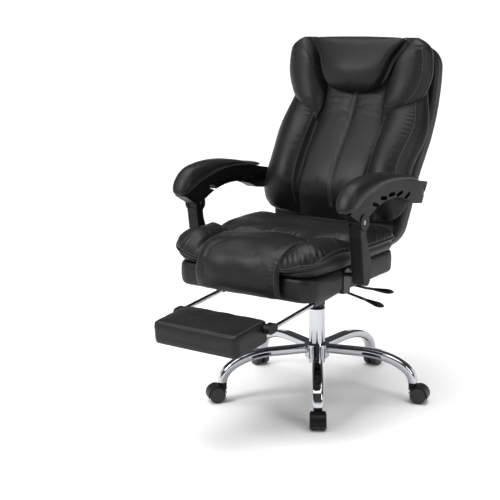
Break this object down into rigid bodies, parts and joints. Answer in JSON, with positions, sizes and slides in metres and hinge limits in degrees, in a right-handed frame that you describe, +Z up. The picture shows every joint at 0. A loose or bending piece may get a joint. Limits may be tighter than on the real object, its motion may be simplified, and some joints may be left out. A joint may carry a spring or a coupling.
{
  "type": "reclining office chair with footrest",
  "caption": "Padded executive office chair that reclines, with linked armrests, a pull-out footrest, a gas lift and a chrome base on twin-wheel casters.",
  "frame": {"origin": "on the floor under the gas lift", "axes": "+Z up, the sitter faces -Y, +X is the sitter's left"},
  "size_m": [0.6878, 0.9841, 1.0898],
  "materials": {
    "leather": "soft sheen",
    "chrome": "mirror",
    "black_plastic": "satin",
    "wheel_nylon": "satin",
    "black_metal": "satin",
    "steel": "satin",
    "plywood": "raw"
  },
  "bodies": {
    "base": {"base_star": "chrome", "gas_cylinder": "chrome", "cylinder_bush": "black_plastic", "caster_sockets": "steel"},
    "lift_rod": {"gas_rod": "steel"},
    "seat": {"gas_tube": "black_metal", "seat_mechanism": "black_metal", "seat_bolts": "steel", "seat_board": "plywood", "seat_box": "leather", "seat_cushion": "leather", "footrest_tracks": "black_metal", "recline_ears": "black_metal", "recline_shaft": "steel", "arm_seat_brackets": "black_metal"},
    "height_lever": {"height_lever": "black_metal", "height_lever_grip": "black_plastic"},
    "recline_lever": {"recline_lever": "black_metal", "recline_lever_grip": "black_plastic"},
    "footrest_slide": {"footrest_rails": "chrome", "footrest_brackets": "black_plastic", "footrest_axle": "steel"},
    "footrest_pad": {"footrest_board": "plywood", "footrest_pad": "leather"},
    "back": {"back_brackets": "black_metal", "back_board": "plywood", "back_shell": "leather", "back_cushion": "leather", "head_pillow": "leather", "wing_right": "leather", "wing_left": "leather", "arm_mounts": "black_metal"},
    "caster_1": {"caster_1_hood": "black_plastic", "caster_1_pins": "steel"},
    "caster_1_left": {"caster_1_wheel_left": "wheel_nylon"},
    "caster_1_right": {"caster_1_wheel_right": "wheel_nylon"},
    "caster_2": {"caster_2_hood": "black_plastic", "caster_2_pins": "steel"},
    "caster_2_left": {"caster_2_wheel_left": "wheel_nylon"},
    "caster_2_right": {"caster_2_wheel_right": "wheel_nylon"},
    "caster_3": {"caster_3_hood": "black_plastic", "caster_3_pins": "steel"},
    "caster_3_left": {"caster_3_wheel_left": "wheel_nylon"},
    "caster_3_right": {"caster_3_wheel_right": "wheel_nylon"},
    "caster_4": {"caster_4_hood": "black_plastic", "caster_4_pins": "steel"},
    "caster_4_left": {"caster_4_wheel_left": "wheel_nylon"},
    "caster_4_right": {"caster_4_wheel_right": "wheel_nylon"},
    "caster_5": {"caster_5_hood": "black_plastic", "caster_5_pins": "steel"},
    "caster_5_left": {"caster_5_wheel_left": "wheel_nylon"},
    "caster_5_right": {"caster_5_wheel_right": "wheel_nylon"},
    "arm_right": {"arm_frame_right": "black_plastic", "arm_pad_right": "leather", "arm_bolt_right": "steel"},
    "upright_right": {"arm_upright_right": "black_plastic"},
    "arm_left": {"arm_frame_left": "black_plastic", "arm_pad_left": "leather", "arm_bolt_left": "steel"},
    "upright_left": {"arm_upright_left": "black_plastic"}
  },
  "joints": [
    {"name": "caster_1_swivel", "type": "hinge", "parent": "base", "child": "caster_1", "pos_m": [0.16441, -0.25808, 0.08], "axis": [0, 0, 1], "continuous": true},
    {"name": "caster_1_roll_left", "type": "hinge", "parent": "caster_1", "child": "caster_1_left", "pos_m": [0.17516, -0.27495, 0.025], "axis": [-0.8434, -0.5373, 0], "continuous": true},
    {"name": "caster_1_roll_right", "type": "hinge", "parent": "caster_1", "child": "caster_1_right", "pos_m": [0.17516, -0.27495, 0.025], "axis": [-0.8434, -0.5373, 0], "continuous": true},
    {"name": "caster_2_swivel", "type": "hinge", "parent": "base", "child": "caster_2", "pos_m": [0.29625, 0.07662, 0.08], "axis": [0, 0, 1], "continuous": true},
    {"name": "caster_2_roll_left", "type": "hinge", "parent": "caster_2", "child": "caster_2_left", "pos_m": [0.31562, 0.08162, 0.025], "axis": [0.2504, -0.9681, 0], "continuous": true},
    {"name": "caster_2_roll_right", "type": "hinge", "parent": "caster_2", "child": "caster_2_right", "pos_m": [0.31562, 0.08162, 0.025], "axis": [0.2504, -0.9681, 0], "continuous": true},
    {"name": "caster_3_swivel", "type": "hinge", "parent": "base", "child": "caster_3", "pos_m": [0.01868, 0.30543, 0.08], "axis": [0, 0, 1], "continuous": true},
    {"name": "caster_3_roll_left", "type": "hinge", "parent": "caster_3", "child": "caster_3_left", "pos_m": [0.0199, 0.32539, 0.025], "axis": [0.9981, -0.061, 0], "continuous": true},
    {"name": "caster_3_roll_right", "type": "hinge", "parent": "caster_3", "child": "caster_3_right", "pos_m": [0.0199, 0.32539, 0.025], "axis": [0.9981, -0.061, 0], "continuous": true},
    {"name": "caster_4_swivel", "type": "hinge", "parent": "base", "child": "caster_4", "pos_m": [-0.28471, 0.11215, 0.08], "axis": [0, 0, 1], "continuous": true},
    {"name": "caster_4_roll_left", "type": "hinge", "parent": "caster_4", "child": "caster_4_left", "pos_m": [-0.30332, 0.11948, 0.025], "axis": [0.3665, 0.9304, 0], "continuous": true},
    {"name": "caster_4_roll_right", "type": "hinge", "parent": "caster_4", "child": "caster_4_right", "pos_m": [-0.30332, 0.11948, 0.025], "axis": [0.3665, 0.9304, 0], "continuous": true},
    {"name": "caster_5_swivel", "type": "hinge", "parent": "base", "child": "caster_5", "pos_m": [-0.19464, -0.23612, 0.08], "axis": [0, 0, 1], "continuous": true},
    {"name": "caster_5_roll_left", "type": "hinge", "parent": "caster_5", "child": "caster_5_left", "pos_m": [-0.20736, -0.25155, 0.025], "axis": [-0.7716, 0.6361, 0], "continuous": true},
    {"name": "caster_5_roll_right", "type": "hinge", "parent": "caster_5", "child": "caster_5_right", "pos_m": [-0.20736, -0.25155, 0.025], "axis": [-0.7716, 0.6361, 0], "continuous": true},
    {"name": "seat_swivel", "type": "hinge", "parent": "base", "child": "lift_rod", "pos_m": [0, 0, 0.1], "axis": [0, 0, 1], "continuous": true},
    {"name": "gas_lift", "type": "slide", "parent": "lift_rod", "child": "seat", "axis": [0, 0, 1], "range_m": [0, 0.08]},
    {"name": "height_lever_lift", "type": "hinge", "parent": "seat", "child": "height_lever", "pos_m": [0.038, -0.05, 0.366], "axis": [0, -1, 0], "range_deg": [0, 4], "stiffness_Nm_per_rad": 4, "springref_deg": -8.02},
    {"name": "recline_lever_lift", "type": "hinge", "parent": "seat", "child": "recline_lever", "pos_m": [0.038, 0.008, 0.366], "axis": [0, -1, 0], "range_deg": [0, 4], "stiffness_Nm_per_rad": 4, "springref_deg": -8.02},
    {"name": "footrest_pull", "type": "slide", "parent": "seat", "child": "footrest_slide", "axis": [0, 0.9962, 0.0872], "range_m": [0, 0.17]},
    {"name": "footrest_fold", "type": "hinge", "parent": "footrest_slide", "child": "footrest_pad", "pos_m": [0, -0.48, 0.351], "axis": [1, 0, 0], "range_deg": [0, 110]},
    {"name": "recline", "type": "hinge", "parent": "seat", "child": "back", "pos_m": [0, 0.11, 0.45], "axis": [-1, 0, 0], "range_deg": [-12, 20]},
    {"name": "arm_rear_right", "type": "hinge", "parent": "back", "child": "arm_right", "pos_m": [0.281, 0.115, 0.645], "axis": [1, 0, 0], "range_deg": [-11.5, 19]},
    {"name": "arm_front_right", "type": "hinge", "parent": "arm_right", "child": "upright_right", "pos_m": [0.281, -0.237, 0.613], "axis": [-1, 0, 0], "range_deg": [-14, 23]},
    {"name": "arm_rear_left", "type": "hinge", "parent": "back", "child": "arm_left", "pos_m": [-0.281, 0.115, 0.645], "axis": [1, 0, 0], "range_deg": [-11.5, 19]},
    {"name": "arm_front_left", "type": "hinge", "parent": "arm_left", "child": "upright_left", "pos_m": [-0.281, -0.237, 0.613], "axis": [-1, 0, 0], "range_deg": [-14, 23]}
  ],
  "couplings": [
    {"joint": "arm_rear_right", "follows": "recline", "ratio": 0.93},
    {"joint": "arm_front_right", "follows": "recline", "ratio": 1.14},
    {"joint": "arm_rear_left", "follows": "recline", "ratio": 0.93},
    {"joint": "arm_front_left", "follows": "recline", "ratio": 1.14}
  ]
}
